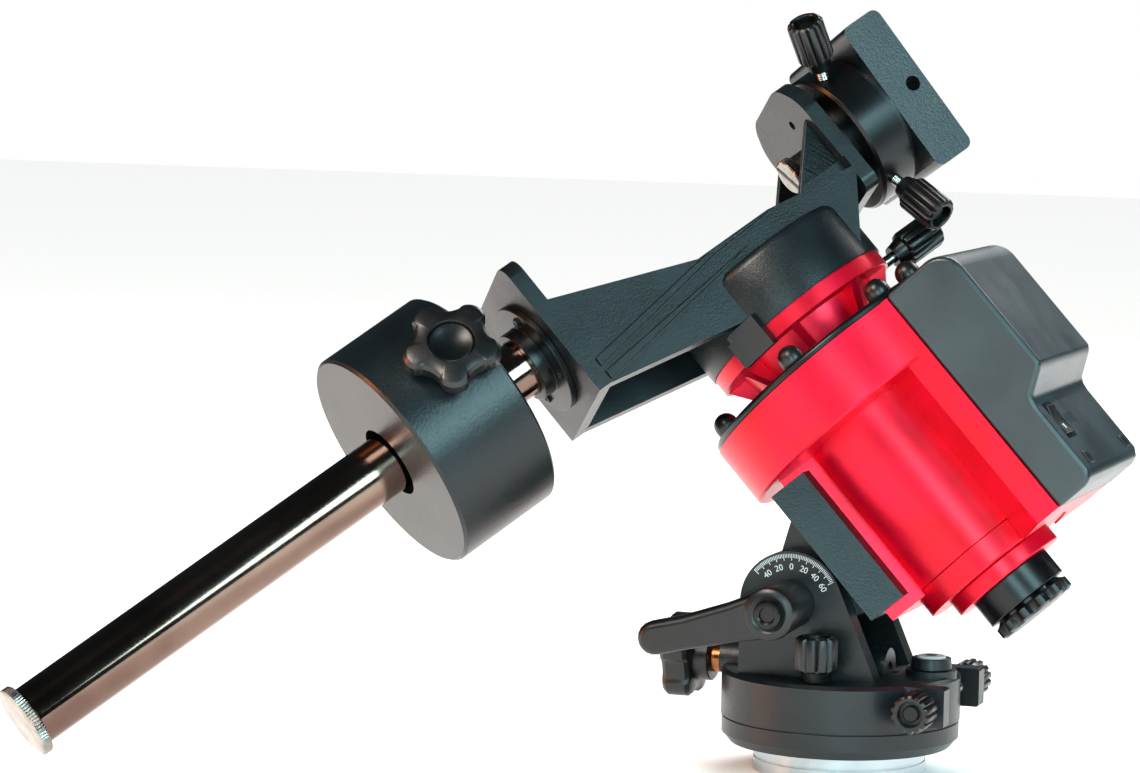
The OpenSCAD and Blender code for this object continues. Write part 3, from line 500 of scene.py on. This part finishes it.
# ---- Knurled steel -----------------------------------------------------------------------------
KNURL_TEETH = 72
KNURL_STEPS = 6 * KNURL_TEETH
KNURL = groove(KNURL_TEETH, 1)
built("knurled shaft cap", "end_cap", "screw_steel",
      [lathe([(-291.6, 11.0, 0), (-291.4, 11.7, 0.1), (-291.0, 12.3, 0.35),
              (-288.5, 12.3, 0.35), (-288.0, 11.8, 0.1), (-287.9, 9.8, 0), (-286, 9.8, 0)],
             KNURL_STEPS, KNURL, ALONG_X)], DEC, ("shaft_end_cap",))
built("slotted centre screw", "polar_axis", "screw_steel",
      [lathe([(29.9, 5.2, 0), (30.0, 5.9, 0.1), (30.4, 6.4, 0.3), (33.2, 6.4, 0.3),
              (33.6, 6.0, 0), (34.4, 3.0, 0), (45, 3.0, 0)], KNURL_STEPS, KNURL, ALONG_X)],
      DEC, ("dec_centre_screw",))
# Slot drawn as a dark block on the screw face: painted shade in place of the cut recess
built("painted shade screw slot", "polar_axis", "black_anodised",
      [block((29.6, -5.6, -0.55), (30.1, 5.6, 0.55))],
      DEC @ Matrix.Rotation(math.radians(70), 4, "X"))

# ---- Base --------------------------------------------------------------------------------------
built("tripod adapter ring", "base", "bare_aluminium",
      [lathe([(0.0, 28.2, 0), (0.0, 28.6, 0), (0.5, 29, 0), (4.6, 29, 0), (4.8, 28.7, 0),
              (5.2, 28.7, 0), (5.4, 29, 0), (9.3, 29, 0), (9.8, 28.6, 0), (10, 28.0, 0)], 128)],
      WORLD, ("tripod_adapter",))
LEVEL = Matrix.Translation((31.3, 0, 0))
built("level vial", "azimuth_head", "level_glass",
      [lathe([(35.0, 4.9, 0), (40.9, 4.9, 0), (41.3, 4.5, 0), (41.4, 3.0, 0)], 64)],
      LEVEL, ("bubble_level_glass",))
built("level bubble rim", "azimuth_head", "moulded_black",
      [lathe([(41.38, 2.0, 0), (41.46, 2.0, 0)], 48)], LEVEL)

# ---- Clutch domes ------------------------------------------------------------------------------
DOME_SEAT = Matrix.Translation((42.2, 0, 33.3))
DOME_RADIUS, DOME_NECK = 4.2, 2.4
domes = []
for angle in (210, -88, -37, -12):
    seat = Matrix.Rotation(math.radians(angle), 4, "Z") @ DOME_SEAT
    rings = [(0.05, 4.0, 0), (0.4, DOME_RADIUS, 0), (DOME_NECK, DOME_RADIUS, 0)]
    rings += [(DOME_NECK + DOME_RADIUS * math.sin(t), DOME_RADIUS * math.cos(t), 0)
              for t in (math.radians(k) for k in (12, 24, 36, 48, 60, 72, 84))]
    domes.append(lathe(rings, 48, axis=seat))
built("clutch domes", "polar_axis", "moulded_black", domes, POLAR, ("clutch_knobs",))

# ---- Polar scope focus ring --------------------------------------------------------------------
built("polar scope focus grip", "polar_focus", "moulded_black",
      [lathe([(-77.3, 11.4, 0), (-77.2, 12.6, 0.8), (-76.6, 13.6, 1.3), (-73.4, 13.6, 1.3),
              (-72.8, 12.8, 0.8), (-71.8, 12.4, 0)], 216,
             lambda a: math.copysign(abs(math.cos(12 * a)) ** 0.6, math.cos(12 * a)))],
      POLAR, ("polar_scope_focus_ring",))
built("eyepiece lens", "altitude_head", "lens_glass",
      [lathe([(-77.9, 0.3, 0), (-77.8, 3, 0), (-77.5, 6, 0), (-77.35, 8.2, 0), (-76.6, 8.2, 0)],
             64)], POLAR @ Matrix.Translation((0, 0, 0.7)), ("polar_scope_lenses",))

# ---- Electronics cover -------------------------------------------------------------------------
COVER_HALF, COVER_OUT, SHOULDER = 35.5, 53, 9
corner = [(54.2 + SHOULDER * math.cos(t), 22.3 + SHOULDER * math.sin(t))
          for t in (math.radians(k) for k in range(0, 91, 10))]
outline = [(37.3, -57.3), (49.4, -57.3), (51.4, -56), (52.9, -53.4), (53, -28.6), (53.4, -25.8),
           (54.4, -24), (61.0, -19.6), (62.6, -18.6), (63.2, -17), *corner, (37.3, 31.3)]
cover = built("electronics cover", "altitude_head", "cover_abs",
              [prism(outline, -COVER_HALF, COVER_HALF)], POLAR, ("electronics_cover",),
              bevel=3.4, segments=6)
# Hollowed round the clutch disc, then sunk for the switch
carve(cover, [lathe([(8.5, 49, 0), (45, 49, 0)], 128)], POLAR)
carve(cover, [block((50.0, -29.4, -41.9), (55, -17.6, -27.1))], POLAR)
# Switch: the floor of its recess, the rocker and its mark
SWITCH = POLAR @ Matrix.Translation((COVER_OUT, -23.5, -34.5))
built("switch bezel", "altitude_head", "moulded_black",
      [block((-3.2, -5.8, -7.3), (-2.9, 5.8, 7.3))], SWITCH)
built("rocker", "switch_rocker", "moulded_black",
      [prism([(-1.4, -5.4), (0.1, -5.6), (0.3, -5.0), (-0.5, 0), (0.9, 4.9), (0.8, 5.6),
              (-1.4, 5.4)], -4.4, 4.4)], SWITCH, ("power_switch",), bevel=0.3)
built("rocker legend", "switch_rocker", "scale_print",
      [block((-0.2, -0.35, -3.9), (0.12, 0.35, -1.9))], SWITCH)
for end, y, node in (("near", -26, ("cable_sockets",)), ("far", 27, ())):
    place = POLAR @ Matrix.Translation((COVER_OUT, y, -50))
    built("cable socket " + end, "altitude_head", "moulded_black",
          [block((-0.1, -3.2, -2.3), (0.35, 3.2, 2.3))], place, node, bevel=0.15)
    # Mouth drawn as a dark plate on the socket face: painted shade for the opening
    built("socket mouth " + end, "altitude_head", "black_anodised",
          [block((0.3, -2.2, -1.2), (0.45, 2.2, 1.2))], place)
TICK_STEP = 1.9
ticks = [block((0.0, -15.6 + TICK_STEP * i, -2.2 - (i % 2) * 1.2),
               (0.12, -15.3 + TICK_STEP * i, 0.6)) for i in range(6)]
built("indicator ticks", "altitude_head", "moulded_black", ticks,
      POLAR @ Matrix.Translation((COVER_OUT, 0, -34)))

# ---- Altitude scale ----------------------------------------------------------------------------
SCALE = Matrix.Translation((PIVOT_X, -25, PIVOT_Z)) @ FACING_NEAR
DIGIT_RADIUS, DIGIT_HEIGHT = 11.7, 2.9


def tick(angle, inner, outer, width):
    """One printed mark of the altitude scale, a fine raised bar."""
    turn = Matrix.Rotation(math.radians(90 - angle), 4, "Z")
    return block((inner, -width / 2, 0.02), (outer, width / 2, 0.12), turn)


marks = [tick(t, 15.6 if t % 10 else 14.7, 16.9, 0.22) for t in range(-50, 61, 2)]
built("altitude scale ticks", "azimuth_head", "scale_print", marks, SCALE, ("altitude_scale",))
for value in (-40, -20, 0, 20, 40, 60):
    font = bpy.data.curves.new(f"digits {value}", "FONT")
    font.body = str(abs(value))
    font.size = DIGIT_HEIGHT
    font.align_x = "CENTER"
    font.extrude = 0.05
    text = bpy.data.objects.new("digits", font)
    mesh = bpy.data.meshes.new_from_object(text)
    bpy.data.objects.remove(text)
    turn = Matrix.Rotation(math.radians(-value), 4, "Z")
    mesh.transform(Matrix.Scale(MM, 4) @ SCALE @ turn @ Matrix.Translation((0, DIGIT_RADIUS, 0.08)))
    side = "left" if value < 0 else "right"
    finish(mesh, f"scale number {side} {abs(value)}", "azimuth_head", "scale_print")

# ---- Remaining frame nodes ---------------------------------------------------------------------
for entry in frame["record"]["subparts"]:
    node = frame["nodes"][entry["node"]]
    if not node.hide_render:
        node.data.materials.clear()
        node.data.materials.append(MATS[entry["material_slot"]])

# ---- Stage: floor, light, camera ---------------------------------------------------------------
floor_mesh = bpy.data.meshes.new("floor")
plane = bmesh.new()
FLOOR_HALF = 4
bmesh.ops.create_grid(plane, x_segments=1, y_segments=1, size=FLOOR_HALF)
plane.to_mesh(floor_mesh)
plane.free()
floor = bpy.data.objects.new("floor", floor_mesh)
bpy.context.collection.objects.link(floor)
pale = bpy.data.materials.new("pale_floor")
pale.use_nodes = True
pale.node_tree.nodes["Principled BSDF"].inputs["Base Color"].default_value = colour("fdfdfb")
pale.node_tree.nodes["Principled BSDF"].inputs["Roughness"].default_value = 0.7
floor_mesh.materials.append(pale)


def softbox(name, spot, target, size, power, tint):
    """Area light at a spot, turned to face its target."""
    data = bpy.data.lights.new(name, "AREA")
    data.shape = "RECTANGLE"
    data.size, data.size_y = size
    data.energy = power
    data.color = colour(tint)[:3]
    lamp = bpy.data.objects.new(name, data)
    bpy.context.collection.objects.link(lamp)
    lamp.location = spot
    lamp.rotation_euler = (Vector(target) - Vector(spot)).to_track_quat("-Z", "Y").to_euler()


CENTRE = (-0.05, 0, 0.13)
softbox("key", (-0.5, -1.1, 1.1), CENTRE, (0.5, 0.5), 16, "fff4ea")
softbox("warm strip", (-1.1, -0.6, 0.35), CENTRE, (0.2, 0.9), 9, "ff9a52")
softbox("cool fill", (1.0, -0.8, 0.7), CENTRE, (0.45, 0.7), 15, "b4e4ec")
softbox("base fill", (0.25, -0.9, 0.25), (0, 0, 0.04), (0.25, 0.25), 3.5, "b4e4ec")
softbox("back rim", (0.2, 1.0, 0.9), CENTRE, (0.8, 0.35), 9, "ffffff")

# Even light over the whole floor, kept out of the reflections
overhead = bpy.data.lights.new("overhead", "SUN")
overhead.energy = 3.5
overhead.angle = math.radians(110)
overhead_lamp = bpy.data.objects.new("overhead", overhead)
bpy.context.collection.objects.link(overhead_lamp)
overhead_lamp.visible_glossy = False
overhead_lamp.rotation_euler = (math.radians(-28), math.radians(8), 0)

# A dim room for the object, a white one behind it
world = bpy.data.worlds.new("studio")
bpy.context.scene.world = world
world.use_nodes = True
sky = world.node_tree
ray = add(sky, "LightPath")
seen = add(sky, "Mix", [(0, ray.outputs["Is Camera Ray"]), (6, colour("6f8894")),
                        (7, colour("ffffff"))], data_type="RGBA")
level = add(sky, "MapRange", [(0, ray.outputs["Is Camera Ray"]), (3, 0.16), (4, 1.0)])
sky.links.new(seen.outputs[2], sky.nodes["Background"].inputs["Color"])
sky.links.new(level.outputs[0], sky.nodes["Background"].inputs["Strength"])
bpy.context.scene.view_settings.view_transform = "Standard"

CAMERA_SPOT = (0.3850, -1.3335, 0.2618)
LENS_MM = 131.17
azimuth, height, roll = (math.radians(v) for v in (19.948, 5.502, 1.0))
back = Vector((math.sin(azimuth) * math.cos(height), -math.cos(azimuth) * math.cos(height),
               math.sin(height)))
right = Vector((math.cos(azimuth), math.sin(azimuth), 0))
up = back.cross(right)
level_right = math.cos(roll) * right + math.sin(roll) * up
level_up = -math.sin(roll) * right + math.cos(roll) * up
camera_data = bpy.data.cameras.new("camera")
camera_data.lens = LENS_MM
camera_data.sensor_width = 36
camera_data.clip_end = 20
camera = bpy.data.objects.new("camera", camera_data)
bpy.context.collection.objects.link(camera)
camera.matrix_world = (Matrix.Translation(CAMERA_SPOT)
                       @ Matrix((level_right, level_up, back)).transposed().to_4x4())
bpy.context.scene.camera = camera
